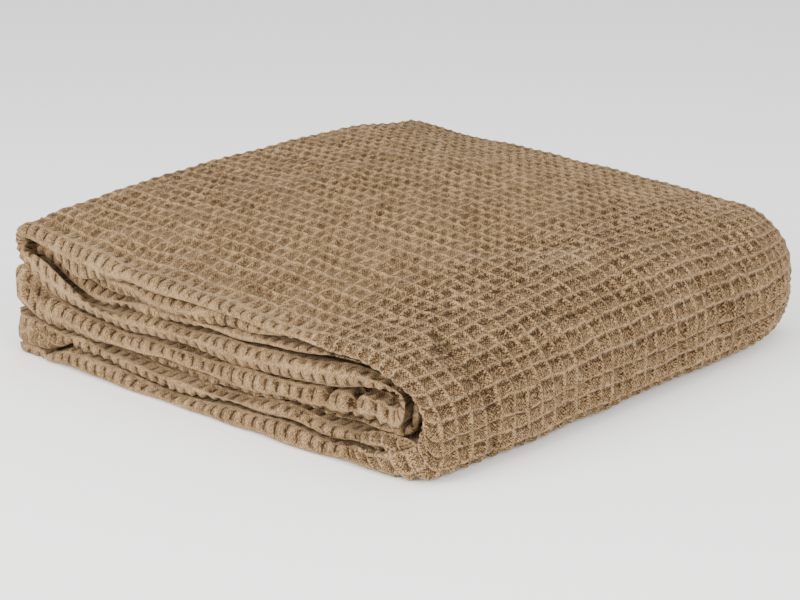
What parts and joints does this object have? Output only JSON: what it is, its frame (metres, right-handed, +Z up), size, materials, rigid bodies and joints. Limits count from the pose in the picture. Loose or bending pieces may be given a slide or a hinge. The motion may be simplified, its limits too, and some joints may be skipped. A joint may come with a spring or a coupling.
{
  "type": "folded waffle weave cotton blanket",
  "caption": "Waffle weave cotton blanket folded into a soft, uneven stack, with rolled fold noses along the front and one closed turned side.",
  "frame": {"origin": "bottom centre of the folded stack", "axes": "+Z up, +X along the front edge towards the side where the cloth turns from the bottom of the stack to its top, -Y out of the front, where the rolled noses of the folds show"},
  "size_m": [0.3594, 0.3815, 0.1062],
  "materials": {
    "cotton": "matte beige waffle weave cotton"
  },
  "bodies": {
    "root": {"blanket": "cotton"}
  },
  "joints": []
}
